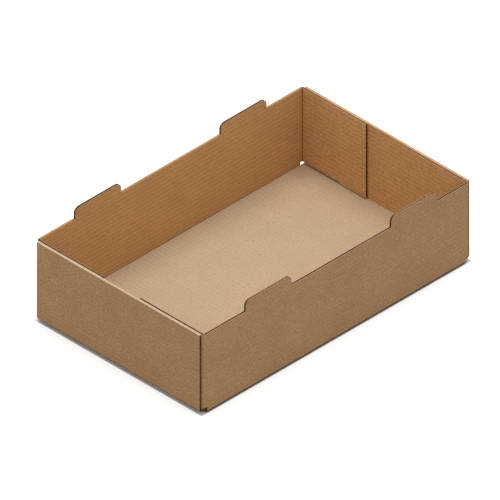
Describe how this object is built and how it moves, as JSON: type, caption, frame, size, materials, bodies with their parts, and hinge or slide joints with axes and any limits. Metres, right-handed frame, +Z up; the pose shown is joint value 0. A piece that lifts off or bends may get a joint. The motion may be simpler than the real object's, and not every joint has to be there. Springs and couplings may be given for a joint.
{
  "type": "cardboard tray box",
  "caption": "Open stacking tray of corrugated board with low walls, glued corner flaps and stacking tabs on the long walls.",
  "frame": {"origin": "under the middle of the tray, on the surface it stands on", "axes": "+X along the tray, +Y across it, +Z up out of the open top"},
  "size_m": [0.46, 0.285, 0.132],
  "materials": {
    "board": "matte kraft board"
  },
  "bodies": {
    "root": {"tray_body": "board", "front_side": "board", "rear_side": "board"}
  },
  "joints": []
}
